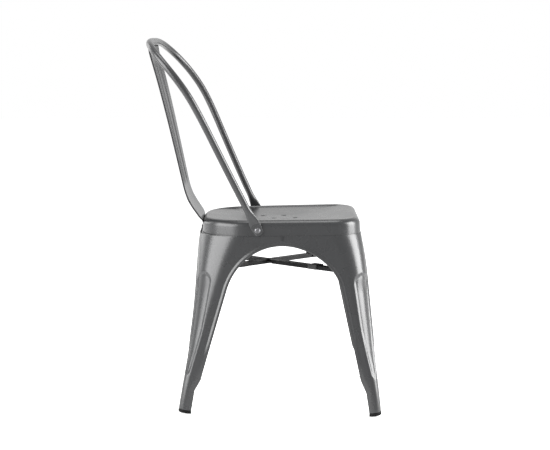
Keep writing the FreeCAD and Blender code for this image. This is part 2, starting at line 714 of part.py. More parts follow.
HOOP_BOLT_BEHIND = 3.0
SKIRT_WALL = dim("pan_thick") + 0.15
inside = SKIRT_WALL + dim("washer_thick") + dim("nut_high")
hoop_shank = dim("paddle_thick") + 2 * GAP + inside + HOOP_BOLT_BEHIND
bolts = []
washers = []
nuts = []
for side_name, flip in (("right", 1.0), ("left", -1.0)):
    normal = Vector(SIDE_NORMAL.x * flip, SIDE_NORMAL.y, 0)
    face = Vector(HOOP_BOLT.x * flip, HOOP_BOLT.y, HOOP_BOLT.z)
    bolt = round_bolt(f"hoop_bolt_{side_name}", "dimensions.bolt_radius", "dimensions.bolt_head_radius",
                      "dimensions.bolt_head_high", hoop_shank)
    bolts.append(placed(bolt, face + normal * (dim("paddle_thick") + 2 * GAP), axis_rotation(normal)))
    washer_far = SKIRT_WALL + dim("washer_thick")
    washer = flat_washer(f"hoop_washer_{side_name}")
    washers.append(placed(washer, face - normal * washer_far, axis_rotation(normal)))
    nut = hex_nut(f"hoop_nut_{side_name}", "dimensions.nut_corner_radius", "dimensions.bolt_radius",
                  "dimensions.nut_high")
    nuts.append(placed(nut, face - normal * (washer_far + dim("nut_high")), axis_rotation(normal)))
group("hoop_bolts", bolts)
group("hoop_washers", washers)
group("hoop_nuts", nuts)

# The splat's two bolts point to the rear, through the tab and the pan's rear skirt.
rearward = Vector(0, 1, 0)
bolts = []
nuts = []
for side_name, across in (("right", -SPLAT_BOLT_HALF), ("left", SPLAT_BOLT_HALF)):
    outer = at(across, -SPLAT_FACE - dim("splat_thick") - 2 * GAP, SPLAT_BOLT_HIGH)
    inner = at(across, -SPLAT_FACE + SKIRT_WALL + dim("small_nut_high"), SPLAT_BOLT_HIGH)
    bolt = round_bolt(f"splat_bolt_{side_name}", "dimensions.small_bolt_radius",
                      "dimensions.small_head_radius", "dimensions.small_head_high",
                      dim("splat_thick") + dim("pan_thick") + dim("small_nut_high") + 3.0)
    bolts.append(placed(bolt, outer, axis_rotation(rearward)))
    nut = hex_nut(f"splat_nut_{side_name}", "dimensions.small_nut_corner", "dimensions.small_bolt_radius",
                  "dimensions.small_nut_high")
    nuts.append(placed(nut, inner, axis_rotation(rearward)))
group("splat_bolts", bolts)
group("splat_nuts", nuts)

# Brace: two channel bars that cross behind the seat's middle. The one that passes over runs
# from the left rear leg to the right front leg, the other from the right rear to the left front.
CROSSING = at(0, -dim("brace_back"), dim("brace_high"))
ANGLE = math.radians(dim("brace_angle"))
FRONT_RUN = (dim("brace_front_end") + dim("brace_back")) / math.cos(ANGLE)
REAR_RUN = (dim("brace_rear_end") - dim("brace_back")) / math.cos(ANGLE)
END_BOLT = 12.0
RIVET_RADIUS = 4.0


def bar_rotation(across_sign):
    """The turn that carries +X along a bar from its rear end to its front end."""
    direction = Vector(across_sign * math.sin(ANGLE), -math.cos(ANGLE), 0)
    return FreeCAD.Rotation(Vector(1, 0, 0), direction), direction


LAP_HALF = 17.0
LAP_GAP = 0.2


def brace_bar(name, across_sign, joggled):
    """A downward channel with a rivet hole and two bolt holes in its web. At the crossing one
    bar's sides are cut away and the other's web is pressed down, so the two lie at one height."""
    length = FRONT_RUN + REAR_RUN
    half_high = dim("brace_deep") / 2
    outer = bound("Part::Box", name + "_outer", Length=length, Width="dimensions.brace_wide",
                  Height="dimensions.brace_deep")
    placed(outer, Vector(-REAR_RUN, -dim("brace_wide") / 2, 0))
    inner = bound("Part::Box", name + "_inner", Length=length,
                  Width="dimensions.brace_wide - 2 * dimensions.brace_wall",
                  Height="dimensions.brace_deep - dimensions.brace_wall")
    placed(inner, Vector(-REAR_RUN, -dim("brace_wide") / 2 + dim("brace_wall"), 0))
    lap = bound("Part::Box", name + "_lap", Length=2 * LAP_HALF, Width="dimensions.brace_wide + 2",
                Height=half_high + LAP_GAP)
    placed(lap, Vector(-LAP_HALF, -dim("brace_wide") / 2 - 1, half_high - LAP_GAP / 2 if joggled else -LAP_GAP / 2))
    base = cut(name + "_channel", outer, fused(name + "_space", [inner, lap]))
    if joggled:
        web = bound("Part::Box", name + "_web", Length=2 * LAP_HALF + 2.0, Width="dimensions.brace_wide",
                    Height="dimensions.brace_wall")
        placed(web, Vector(-LAP_HALF - 1.0, -dim("brace_wide") / 2, half_high - LAP_GAP / 2 - dim("brace_wall")))
        ends = [web]
        for side, start in (("front", LAP_HALF), ("rear", -LAP_HALF - dim("brace_wall"))):
            step = bound("Part::Box", f"{name}_step_{side}", Length="dimensions.brace_wall",
                         Width="dimensions.brace_wide", Height=half_high + dim("brace_wall"))
            ends.append(placed(step, Vector(start, -dim("brace_wide") / 2, half_high - dim("brace_wall"))))
        base = fused(name + "_joggled", [base] + ends)
    holes = []
    for index, (run, radius) in enumerate(((0.0, RIVET_RADIUS), (FRONT_RUN - END_BOLT, dim("small_bolt_radius")),
                                           (END_BOLT - REAR_RUN, dim("small_bolt_radius")))):
        hole = bound("Part::Cylinder", f"{name}_hole_{index}", Radius=radius + CLEARANCE, Height=12.0)
        holes.append(placed(hole, Vector(run, 0, 0)))
    bar = cut(name, base, fused(name + "_holes", holes))
    bar.Label = name
    rotation, direction = bar_rotation(across_sign)
    SUB_PARTS.append(bar)
    return placed(bar, Vector(CROSSING.x, CROSSING.y, BAR_LOW), rotation)


BAR_LOW = dim("brace_high") - dim("brace_deep") / 2
BAR_TOP = BAR_LOW + dim("brace_deep")
brace_bar("brace_bar_upper", -1.0, False)
brace_bar("brace_bar_lower", 1.0, True)

lower_web = dim("brace_high") - LAP_GAP / 2 - dim("brace_wall")
rivet_long = BAR_TOP - lower_web
rivet = bound("Part::Cylinder", "rivet_shank", Radius=RIVET_RADIUS, Height=rivet_long)
placed(rivet, Vector(0, 0, -rivet_long))
rivet_head = bound("Part::Cone", "rivet_head", Radius1=RIVET_RADIUS * 1.7, Radius2=RIVET_RADIUS, Height=1.6)
rivet_tail = bound("Part::Cone", "rivet_tail", Radius1=RIVET_RADIUS, Radius2=RIVET_RADIUS * 1.6, Height=2.0)
placed(rivet_tail, Vector(0, 0, -rivet_long - 2.0))
brace_rivet = fused("brace_rivet", [rivet, rivet_head, rivet_tail])
brace_rivet.Label = "brace_rivet"
placed(brace_rivet, Vector(CROSSING.x, CROSSING.y, BAR_TOP))
SUB_PARTS.append(brace_rivet)


# The four brackets: (name, the bar's across sign, its front end or not, and how far the
# bracket's wall reaches to either side of the bar).
BAR_ENDS = [
    ("front_right", -1.0, True, -14.0, 18.0),
    ("rear_left", -1.0, False, -17.0, 17.0),
    ("front_left", 1.0, True, -18.0, 14.0),
    ("rear_right", 1.0, False, -17.0, 17.0),
]
BRACKET_THICK = 1.8
BRACKET_HIGH = 16.0
BRACKET_LONG = 26.0
# The bracket's tongue lies inside the bar's channel, right under its web.
TONGUE_HALF = dim("brace_wide") / 2 - dim("brace_wall") - 0.4
TONGUE_TOP = BAR_TOP - dim("brace_wall") - 0.1


def end_box(across_sign, run_low, run_high, side_low, side_high, low, high):
    """A box along a bar, by its runs from the crossing and its sideways reaches."""
    rotation, direction = bar_rotation(across_sign)
    block = Part.makeBox(run_high - run_low, side_high - side_low, high - low,
                         Vector(run_low, side_low, low))
    block.Placement = FreeCAD.Placement(Vector(CROSSING.x, CROSSING.y, 0), rotation)
    return block


def end_point(across_sign, run, height):
    rotation, direction = bar_rotation(across_sign)
    return Vector(CROSSING.x, CROSSING.y, height) + direction * run


def brace_bracket(across_sign, forward_end, side_low, side_high):
    """A tongue in a bar's end with a wall that follows the leg's inner face."""
    run = FRONT_RUN if forward_end else -REAR_RUN
    outward = 1.0 if forward_end else -1.0
    starts = sorted((run - outward * BRACKET_LONG, run + outward * 80.0))
    beyond = sorted((run + outward * 0.8, run + outward * 80.0))
    tongue_box = end_box(across_sign, *starts, -TONGUE_HALF, TONGUE_HALF, TONGUE_TOP - BRACKET_THICK, TONGUE_TOP)
    wall_top = BAR_TOP + 2.0
    wall_box = end_box(across_sign, *beyond, side_low, side_high, wall_top - BRACKET_HIGH, wall_top)
    reach = RIM_DEEP + GAP
    inside_leg = tower(reach)
    wall = inside_leg.cut(tower(reach + BRACKET_THICK)).common(wall_box)
    tongue = inside_leg.common(tongue_box)
    hole_at = end_point(across_sign, run - outward * END_BOLT, BAR_LOW - 10.0)
    hole = Part.makeCylinder(dim("small_bolt_radius") + CLEARANCE, 30.0, hole_at)
    window = flute_window(forward_end, FLUTE_WALL + GAP)
    if across_sign * outward > 0:
        window = mirrored(window)
    beyond_flute = window.cut(tower(FLUTE_STEP + dim("sheet_thick") + GAP, FLUTE_FLATTEN))
    return largest(wall.fuse(tongue).cut([hole, beyond_flute]))


bolts = []
nuts = []
for name, across_sign, forward_end, side_low, side_high in BAR_ENDS:
    add_part(f"brace_bracket_{name}", brace_bracket(across_sign, forward_end, side_low, side_high))
    run = FRONT_RUN - END_BOLT if forward_end else END_BOLT - REAR_RUN
    length = BAR_TOP - BAR_LOW - 0.3
    bolt = round_bolt(f"brace_bolt_{name}", "dimensions.small_bolt_radius", "dimensions.small_head_radius",
                      "dimensions.small_head_high", length)
    bolts.append(placed(bolt, end_point(across_sign, run, BAR_TOP)))
    nut = hex_nut(f"brace_nut_{name}", "dimensions.small_nut_corner", "dimensions.small_bolt_radius",
                  "dimensions.small_nut_high")
    nut_low = TONGUE_TOP - BRACKET_THICK - dim("small_nut_high") - 0.05
    nuts.append(placed(nut, end_point(across_sign, run, nut_low)))
group("brace_bolts", bolts)
group("brace_nuts", nuts)


def stacking_pad(name, across_sign, forward):
    """A soft cap over a brace bar, open below."""
    run = (forward + dim("brace_back")) / math.cos(ANGLE)
    outer = bound("Part::Box", name + "_outer", Length="dimensions.pad_long",
                  Width="dimensions.brace_wide + 2 * dimensions.pad_wall",
                  Height="dimensions.brace_deep + dimensions.pad_wall")
    half = dim("brace_wide") / 2 + dim("pad_wall")
    placed(outer, Vector(run - dim("pad_long") / 2, -half, 0))
    inner = bound("Part::Box", name + "_inner", Length="dimensions.pad_long",
                  Width="dimensions.brace_wide", Height="dimensions.brace_deep")
    placed(inner, Vector(run - dim("pad_long") / 2, -dim("brace_wide") / 2, 0))
    pad = cut(name, outer, inner)
    pad.Label = name
    SUB_PARTS.append(pad)
    return placed(pad, Vector(CROSSING.x, CROSSING.y, BAR_LOW), bar_rotation(across_sign)[0])


stacking_pad("stacking_pad_front_right", -1.0, dim("pad_front"))
stacking_pad("stacking_pad_front_left", 1.0, dim("pad_front"))
stacking_pad("stacking_pad_rear_right", 1.0, dim("pad_rear"))
stacking_pad("stacking_pad_rear_left", -1.0, dim("pad_rear"))


# Foot glides.
GLIDE_OVER = 0.6
GLIDE_CORNER = 7.0
GLIDE_EDGE = 1.5
PLUG_RADIUS = 8.3
PLUG_LENGTH = 20.0


def foot_glide(forward_end):
    """A right-hand glide: a cap under the foot and a plug in the foot's bore."""
    side = SIDE_ARCH_FRONT if forward_end else SIDE_ARCH_REAR
    end = FRONT_ARCH_SIDE if forward_end else REAR_ARCH_SIDE
    half, forward = corner_point(dim("glide_high"), forward_end)
    outward = GLIDE_OVER if forward_end else -GLIDE_OVER
    inner_forward = side[0][0] - outward
    outer_forward = forward + outward
    cap = box_between(at(-half - GLIDE_OVER, inner_forward, 0.0),
                      at(-end[0][0] + GLIDE_OVER, outer_forward, dim("glide_high")))
    upright = [edge for edge in cap.Edges if abs(edge.tangentAt(edge.FirstParameter).z) > 0.9]
    cap = cap.makeFillet(GLIDE_CORNER, upright)
    under = [edge for edge in cap.Edges if edge.BoundBox.ZMax < 0.01]
    cap = cap.makeFillet(GLIDE_EDGE, under)
    plug = foot_bore(forward_end, PLUG_RADIUS, PLUG_LENGTH)
    return largest(cap.fuse(plug))


add_pair("foot_glide_front_left", "foot_glide_front_right", foot_glide(True))
add_pair("foot_glide_rear_left", "foot_glide_rear_right", foot_glide(False))

document.recompute()

for item in document.Objects:
    if "Invalid" in item.State or "Error" in item.State:
        raise RuntimeError(f"{item.Name} did not recompute")
for item in SUB_PARTS:
    if item.Shape.isNull() or not item.Shape.isValid():
        raise RuntimeError(f"{item.Label} has no valid shape")

os.makedirs("parts", exist_ok=True)
for item in SUB_PARTS:
    item.Shape.exportStep(f"parts/{item.Label}.step")
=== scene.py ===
import bmesh
import bpy
import json
import math
from mathutils import Matrix, Vector
from mathutils.geometry import delaunay_2d_cdt

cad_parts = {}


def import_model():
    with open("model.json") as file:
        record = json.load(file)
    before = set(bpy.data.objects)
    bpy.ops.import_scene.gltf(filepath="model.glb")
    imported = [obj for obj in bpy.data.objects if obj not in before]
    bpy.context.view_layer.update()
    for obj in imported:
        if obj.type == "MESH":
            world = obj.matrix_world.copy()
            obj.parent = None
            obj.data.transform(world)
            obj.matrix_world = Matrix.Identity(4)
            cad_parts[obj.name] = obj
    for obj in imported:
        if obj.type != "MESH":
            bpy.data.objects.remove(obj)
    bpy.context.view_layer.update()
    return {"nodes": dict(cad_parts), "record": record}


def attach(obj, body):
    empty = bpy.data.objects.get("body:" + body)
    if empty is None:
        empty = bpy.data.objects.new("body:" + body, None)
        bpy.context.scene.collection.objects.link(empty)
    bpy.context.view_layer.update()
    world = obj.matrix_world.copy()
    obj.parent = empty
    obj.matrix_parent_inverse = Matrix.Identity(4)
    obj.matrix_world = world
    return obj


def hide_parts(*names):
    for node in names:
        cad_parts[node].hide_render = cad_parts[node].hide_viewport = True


# Metal bistro chair: looks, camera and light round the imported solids. Metres, +Z up, the
# sitter faces -Y and the camera stands on the sitter's right, at -X.

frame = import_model()
nodes = frame["nodes"]
scene = bpy.context.scene
scene.view_settings.view_transform = "Standard"


# Materials
def new_material(name):
    material = bpy.data.materials.new(name)
    material.use_nodes = True
    tree = material.node_tree
    return material, tree, tree.nodes["Principled BSDF"]


def add(tree, kind, **settings):
    node = tree.nodes.new(kind)
    for key, value in settings.items():
        setattr(node, key, value)
    return node


def noise(tree, scale, detail=3.0, roughness=0.5):
    """Noise in the object's own coordinates, so that it stays on the piece."""
    place_node = add(tree, "ShaderNodeTexCoord")
    texture = add(tree, "ShaderNodeTexNoise")
    texture.inputs["Scale"].default_value = scale
    texture.inputs["Detail"].default_value = detail
    texture.inputs["Roughness"].default_value = roughness
    tree.links.new(place_node.outputs["Object"], texture.inputs["Vector"])
    return texture.outputs["Fac"]


NOISE_LOW = 0.3
NOISE_HIGH = 0.7


def span(tree, value, low, high):
    """Noise's usual range spread over low to high."""
    node = add(tree, "ShaderNodeMapRange")
    node.inputs["From Min"].default_value = NOISE_LOW
    node.inputs["From Max"].default_value = NOISE_HIGH
    node.inputs["To Min"].default_value = low
    node.inputs["To Max"].default_value = high
    tree.links.new(value, node.inputs["Value"])
    return node.outputs["Result"]


def vary_colour(tree, shader, scale, dark, light):
    """Slow changes of tone between a dark and a light colour."""
    mix = add(tree, "ShaderNodeMix", data_type="RGBA")
    mix.inputs["A"].default_value = (*dark, 1.0)
    mix.inputs["B"].default_value = (*light, 1.0)
    tree.links.new(span(tree, noise(tree, scale), 0.0, 1.0), mix.inputs["Factor"])
    tree.links.new(mix.outputs["Result"], shader.inputs["Base Color"])


def vary_roughness(tree, shader, scale, low, high):
    tree.links.new(span(tree, noise(tree, scale), low, high), shader.inputs["Roughness"])


def bump(tree, shader, height, strength, distance):
    node = add(tree, "ShaderNodeBump")
    node.inputs["Strength"].default_value = strength
    node.inputs["Distance"].default_value = distance
    tree.links.new(height, node.inputs["Height"])
    tree.links.new(node.outputs["Normal"], shader.inputs["Normal"])


def coated_metal(name, dark, light, metallic, rough_low, rough_high, specular):
    """Powder coat: fine orange peel, and slow changes of tone."""
    material, tree, shader = new_material(name)
    vary_colour(tree, shader, scale=9.0, dark=dark, light=light)
    vary_roughness(tree, shader, scale=26.0, low=rough_low, high=rough_high)
    shader.inputs["Metallic"].default_value = metallic
    shader.inputs["Specular IOR Level"].default_value = specular
    bump(tree, shader, noise(tree, scale=900.0, detail=2.0), strength=0.015, distance=0.0003)
    return material


def dark_steel():
    material, tree, shader = new_material("dark_steel")
    vary_colour(tree, shader, scale=160.0, dark=(0.075, 0.075, 0.078), light=(0.12, 0.12, 0.125))
    vary_roughness(tree, shader, scale=300.0, low=0.26, high=0.40)
    shader.inputs["Metallic"].default_value = 0.9
    bump(tree, shader, noise(tree, scale=1500.0), strength=0.08, distance=0.0003)
    return material


SOFT_LIGHTER = 1.7
SOFT_ROUGHER = 0.12


def soft_black(name, level, roughness, grain, specular):
    """Black rubber or plastic with a fine grain."""
    material, tree, shader = new_material(name)
    vary_colour(tree, shader, scale=120.0, dark=(level,) * 3, light=(level * SOFT_LIGHTER,) * 3)
    vary_roughness(tree, shader, scale=400.0, low=roughness, high=roughness + SOFT_ROUGHER)
    shader.inputs["Specular IOR Level"].default_value = specular
    bump(tree, shader, noise(tree, scale=grain), strength=0.2, distance=0.0004)
    return material


FRAME_COAT = coated_metal("gunmetal_coat", dark=(0.0165, 0.017, 0.018), light=(0.019, 0.0195, 0.0205),
                          metallic=0.12, rough_low=0.26, rough_high=0.29, specular=0.5)
BRACE_COAT = coated_metal("black_coat", dark=(0.004, 0.004, 0.0045), light=(0.007, 0.007, 0.0075),
                          metallic=0.0, rough_low=0.36, rough_high=0.46, specular=0.12)
MATERIALS = {
    "frame_coat": FRAME_COAT,
    "brace_coat": BRACE_COAT,
    "bolt_steel": dark_steel(),
    "pad_rubber": soft_black("pad_rubber", level=0.012, roughness=0.70, grain=1400.0, specular=0.5),
    "glide_plastic": soft_black("glide_plastic", level=0.003, roughness=0.60, grain=900.0, specular=0.1),
}
slot_of = {part["node"]: part["material_slot"] for part in frame["record"]["subparts"]}
for name, node in nodes.items():
    node.data.materials.clear()
    node.data.materials.append(MATERIALS[slot_of[name]])


# Curves and steps
def clamp(share):
    return min(max(share, 0.0), 1.0)


def smooth(share):
    share = clamp(share)
    return share * share * (3 - 2 * share)


def between(pairs, value):
    """A value read off a list of (key, value) by straight lines."""
    pairs = sorted(pairs)
    if value <= pairs[0][0]:
        return pairs[0][1]
    for (low, start), (high, end) in zip(pairs, pairs[1:]):
        if value <= high:
            return start + (end - start) * (value - low) / (high - low)
    return pairs[-1][1]


def spline(pairs, value):
    """A value on the smooth curve through a rising list of (key, value)."""
    keys = [pair[0] for pair in pairs]
    index = 0
    while index < len(keys) - 2 and value > keys[index + 1]:
        index += 1
    slopes = []
    for here in (index, index + 1):
        low = max(here - 1, 0)
        high = min(here + 1, len(keys) - 1)
        slopes.append((pairs[high][1] - pairs[low][1]) / (keys[high] - keys[low]))
    gap = keys[index + 1] - keys[index]
    t = (value - keys[index]) / gap
    return ((2 * t ** 3 - 3 * t ** 2 + 1) * pairs[index][1] + (t ** 3 - 2 * t ** 2 + t) * gap * slopes[0]
            + (3 * t ** 2 - 2 * t ** 3) * pairs[index + 1][1] + (t ** 3 - t ** 2) * gap * slopes[1])


# Building pieces. Lengths are in millimetres up to place(): across the chair from its
# middle, forward of the seat's middle, and up. The merge distance, the sheets' thicknesses
# and the rounded edges' widths are in metres.
BOX_OFFSET = 38.05
MERGE_DISTANCE = 0.00002


def place(across, forward, up):
    return Vector((across, -(forward + BOX_OFFSET), up)) / 1000.0


def add_grid(build, rows):
    """Quads between rows of points."""
    loops = [[build.verts.new(point) for point in row] for row in rows]
    for lower, upper in zip(loops, loops[1:]):
        for index in range(len(lower) - 1):
            build.faces.new((lower[index], lower[index + 1], upper[index + 1], upper[index]))


def add_rings(build, rings):
    """Quads between closed rings of matching points."""
    loops = [[build.verts.new(point) for point in ring] for ring in rings]
    for lower, upper in zip(loops, loops[1:]):
        for index in range(len(lower)):
            after = (index + 1) % len(lower)
            build.faces.new((lower[index], lower[after], upper[after], upper[index]))
    return loops


def settle(build, outward):
    """Joins touching points, and turns the faces to look outward."""
    bmesh.ops.remove_doubles(build, verts=build.verts, dist=MERGE_DISTANCE)
    bmesh.ops.recalc_face_normals(build, faces=build.faces)
    outermost = max(build.faces, key=lambda face: face.calc_center_median().dot(outward))
    if outermost.normal.dot(outward) < 0:
        bmesh.ops.reverse_faces(build, faces=build.faces)


def finished(build, name, node):
    """The piece made of a bmesh, with the frame's coat. Where node is given it stands for it."""
    mesh = bpy.data.meshes.new(name)
    build.to_mesh(mesh)
    build.free()
    mesh.shade_smooth()
    mesh.materials.append(FRAME_COAT)
    piece = bpy.data.objects.new(name, mesh)
    scene.collection.objects.link(piece)
    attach(piece, "root")
    if node:
        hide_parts(node)
    return piece


def thicken(piece, thickness, offset):
    solid = piece.modifiers.new("thickness", "SOLIDIFY")
    solid.thickness = thickness
    solid.offset = offset


def soften(piece, width, degrees):
    """Rounds the edges that turn by more than an angle."""
    edge = piece.modifiers.new("edge", "BEVEL")
    edge.width = width
    edge.segments = 2
    edge.limit_method = "ANGLE"
    edge.angle_limit = math.radians(degrees)


# Legs. A leg's sheet is drawn unrolled, as t along the plan's outline from the middle of the
# leg's rounded corner (above 0 on the side, below 0 on the end) and z up. An axis names the
# way a face's arch is drawn: FORWARD on the side, ACROSS on the end.
ACROSS = 0
FORWARD = 1
# Height, forward reach of the front face, rearward reach of the rear face, half widths at the
# front and rear corners, and the corner radii at the front and the rear.
LEG_STATIONS = [
    (410.0, 182.6, 185.4, 179.6, 160.0, 66.0, 116.0),
    (330.0, 193.8, 189.5, 187.0, 164.0, 48.0, 76.0),
    (190.0, 207.1, 201.9, 200.0, 171.5, 32.0, 36.0),
    (95.0, 217.4, 217.2, 211.0, 179.0, 20.0, 20.0),
    (0.0, 227.4, 233.4, 222.0, 187.0, 15.0, 15.0),
]
RADIUS_COLUMN = {"front": 5, "rear": 6}
# An arch's side: foot, ankle, taper and shoulder as (distance, height), then the lengths of
# the crown's two poles.
ARCH = {
    (FORWARD, "front"): (((198.6, 7.0), (191.5, 53.0), (179.5, 80.0), (135.5, 287.0)), (52.0, 58.0)),
    (FORWARD, "rear"): (((-203.0, 7.0), (-195.0, 53.0), (-181.5, 76.0), (-121.2, 281.0)), (62.0, 58.0)),
    (ACROSS, "front"): (((193.0, 7.0), (186.5, 53.0), (174.0, 80.0), (127.0, 287.0)), (56.0, 62.0)),
    (ACROSS, "rear"): (((158.5, 7.0), (153.5, 53.0), (142.5, 78.0), (103.0, 280.0)), (56.0, 50.0)),
}
CROWN = {FORWARD: (5.0, 381.2), ACROSS: (0.0, 381.0)}
# The sheet's top edge: its height at the seat's middle, and its rise towards the front.
TOP_MIDDLE = 403.4
TOP_SLOPE = 0.01519
# How far an outline is followed from a corner's middle when a place on it is looked for.
SEARCH_REACH = 400.0
SEARCH_STEPS = 40


def station(column, height):
    """A station's value at any height, on the curve of lowest degree through all of them."""
    total = 0.0
    for here in LEG_STATIONS:
        weight = here[column]
        for other in LEG_STATIONS:
            if other is not here:
                weight *= (height - other[0]) / (here[0] - other[0])
        total += weight
    return total


class Corner:
    """The plan's outline round one leg's corner at one height, as (across, forward)."""

    def __init__(self, end, height):
        front, rear, half_front, half_rear = (station(column, height) for column in range(1, 5))
        sharp = {"front": Vector((half_front, front)), "rear": Vector((half_rear, -rear))}
        self.sharp = sharp[end]
        other = sharp["rear" if end == "front" else "front"]
        self.radius = station(RADIUS_COLUMN[end], height)
        self.along_side = (other - self.sharp).normalized()
        self.along_end = Vector((-1.0, 0.0))
        half_angle = self.along_side.angle(self.along_end) / 2
        self.inward = (self.along_side + self.along_end).normalized()
        self.sideways = (self.along_side - self.inward * self.along_side.dot(self.inward)).normalized()
        self.centre = self.sharp + self.inward * (self.radius / math.sin(half_angle))
        self.turn = (math.pi - 2 * half_angle) / 2
        self.half_arc = self.radius * self.turn

    def point(self, t, proud):
        """The point at t, standing proud of the sheet's face."""
        turn = max(min(t / self.radius, self.turn), -self.turn)
        normal = -self.inward * math.cos(turn) + self.sideways * math.sin(turn)
        spot = self.centre + normal * (self.radius + proud)
        if t > self.half_arc:
            spot += self.along_side * (t - self.half_arc)
        elif t < -self.half_arc:
            spot += self.along_end * (-self.half_arc - t)
        return spot

    def t_at(self, axis, value):
        """The t where the outline's distance along the axis has the value."""
        low = 0.0
        high = SEARCH_REACH if axis == FORWARD else -SEARCH_REACH
        rising = self.point(high, 0.0)[axis] > self.point(low, 0.0)[axis]
        for _ in range(SEARCH_STEPS):
            middle = (low + high) / 2
            if (self.point(middle, 0.0)[axis] < value) == rising:
                low = middle
            else:
                high = middle
        return (low + high) / 2


CORNERS = {}


def corner(end, height):
    key = (end, round(height, 2))
    if key not in CORNERS:
        CORNERS[key] = Corner(end, height)
    return CORNERS[key]


# The flute pressed down a leg's corner: its reach over the side and over the end, by height.
FLUTE_SIDE = [(99.0, 10.5), (190.0, 20.0), (297.0, 23.0)]
FLUTE_END = [(99.0, 15.0), (190.0, 27.0), (297.0, 36.0)]
FLUTE_LOW = FLUTE_SIDE[0][0]
FLUTE_HIGH = FLUTE_SIDE[-1][0]
# Its rounded ends' lengths at the top and the bottom, the step at its edge, the width of that
# step's wall, how far its floor dips beyond the step, the lengths over which the dip fades
# at the top and the bottom, and how much the dip leans from the side towards the end.
FLUTE_RISE = 23.0
FLUTE_FALL = 14.0
FLUTE_STEP = 2.3
FLUTE_ROLL = 8.0
FLUTE_DIP = 2.2
DIP_FADE_HIGH = 45.0
DIP_FADE_LOW = 60.0
FLUTE_SKEW = {"front": 0.75, "rear": 0.1}


def flute(end, t, z):
    """The depth of the flute."""
    half = between(FLUTE_SIDE if t > 0 else FLUTE_END, z)
    beyond = max((z - FLUTE_HIGH) / FLUTE_RISE, (FLUTE_LOW - z) / FLUTE_FALL, 0.0)
    radial = math.hypot(t / half, beyond)
    if radial >= 1:
        return 0.0
    wall = smooth((1 - radial) * half / FLUTE_ROLL)
    from_top = FLUTE_HIGH + FLUTE_RISE - z
    from_bottom = z - FLUTE_LOW + FLUTE_FALL
    along = smooth(from_top / DIP_FADE_HIGH) * smooth(from_bottom / DIP_FADE_LOW)
    skew = 1 - FLUTE_SKEW[end] * t / half
    return wall * (FLUTE_STEP + FLUTE_DIP * (1 - radial * radial) * along * skew)


# The rolled rim along an arch: its height, flat width, slope's width, how round the slope's
# ends are, the heights over which it grows, and its hem.
RIM_PROUD = 2.7
RIM_FLAT = 5.0
RIM_SLOPE = 5.0
RIM_ROUND = 0.18
RIM_FADE = (100.0, 185.0)
RIM_HEM = 0.6
RIM_HEM_REACH = 1.4


def ramp(share):
    """A straight fall from 1 to 0 with rounded ends."""
    share = clamp(share)
    return (1 - share) * (1 - RIM_ROUND) + (1 - smooth(share)) * RIM_ROUND


def rim(distance, z):
    """How far the arch's rolled rim stands proud at a distance from the arch's edge."""
    fade = smooth((z - RIM_FADE[0]) / (RIM_FADE[1] - RIM_FADE[0]))
    hem = RIM_HEM * smooth(1 - distance / RIM_HEM_REACH)
    return fade * (RIM_PROUD * ramp((distance - RIM_FLAT) / RIM_SLOPE) - hem)


def crown_point(points, poles, crown, share):
    """A point on the curve from an arch's shoulder to its crown, as (distance, height)."""
    taper, shoulder = Vector(points[-2]), Vector(points[-1])
    rise, reach = poles
    lean = (shoulder - taper).normalized()
    crown = Vector(crown)
    toward = -1.0 if shoulder[0] < crown[0] else 1.0
    controls = (shoulder, shoulder + lean * rise, crown + Vector((toward * reach, 0.0)), crown)
    rest = 1 - share
    return (controls[0] * rest ** 3 + controls[1] * 3 * rest ** 2 * share
            + controls[2] * 3 * rest * share ** 2 + controls[3] * share ** 3)


# Feet: a closed tube whose sheet curls in beside the arches, cut square to the leg. The
# heights of its ends, the slope of the cut, and the curl's depth, reach and fading heights.
FOOT_LOW = 7.4
FOOT_TOP = 62.0
FOOT_SLANT = 0.154
CURL = 5.2
CURL_REACH = 14.0
CURL_FADE = (66.0, 120.0)


def curl(distance, z):
    """How far the sheet turns in beside the arch's edge, down at the foot."""
    share = max(1 - distance / CURL_REACH, 0.0)
    return CURL * share * share * smooth((CURL_FADE[1] - z) / (CURL_FADE[1] - CURL_FADE[0]))


def slanted(end, forward, height):
    """A height near the floor, lifted towards the foot's outside."""
    inner = abs(ARCH[FORWARD, end][0][0][0])
    lift = FOOT_SLANT * max(abs(forward) - inner, 0.0)
    return height + lift * smooth((FOOT_TOP - height) / (FOOT_TOP - FOOT_LOW))


# The sheet's mesh: rows up the arch's edge, and columns from that edge to the corner. The
# rim's columns take no more than RIM_ROOM of a row.
SHOULDER = 280.0
ROW_STEP = 2.5
FOOT_ROWS = 20
CORNER_ROWS = 46
TOP_ROWS = 44
RIM_COLUMNS = [0.0, 0.5, 1.0, 1.5, 3.0, 4.4, 4.8, 5.2, 5.7,
               6.6, 7.5, 8.4, 9.3, 9.8, 10.2, 10.7, 12.0, 14.0]
RIM_ROOM = 0.8
PANEL_COLUMNS = 44


def straight_heights():
    foot = [FOOT_LOW + (FOOT_TOP - FOOT_LOW) * index / FOOT_ROWS for index in range(FOOT_ROWS)]
    count = int((SHOULDER - FOOT_TOP) / ROW_STEP)
    return foot + [FOOT_TOP + (SHOULDER - FOOT_TOP) * index / count for index in range(count + 1)]


def edge_points(end, axis):
    """The arch's edge from the foot's lower end to the crown, as (t, z)."""
    points, poles = ARCH[axis, end]
    line = [(height, distance) for distance, height in points]
    heights = straight_heights()
    places = [(between(line, z), z) for z in heights if z <= points[-1][1]]
    count = CORNER_ROWS + TOP_ROWS + len(heights) - len(places)
    for index in range(1, count + 1):
        places.append(crown_point(points, poles, CROWN[axis], index / count))
    return [Vector((corner(end, z).t_at(axis, distance), z)) for distance, z in places]


def top_at(end, t):
    """The height of the sheet's top edge at t."""
    forward = corner(end, TOP_MIDDLE).point(t, 0.0)[1]
    return TOP_MIDDLE + TOP_SLOPE * forward


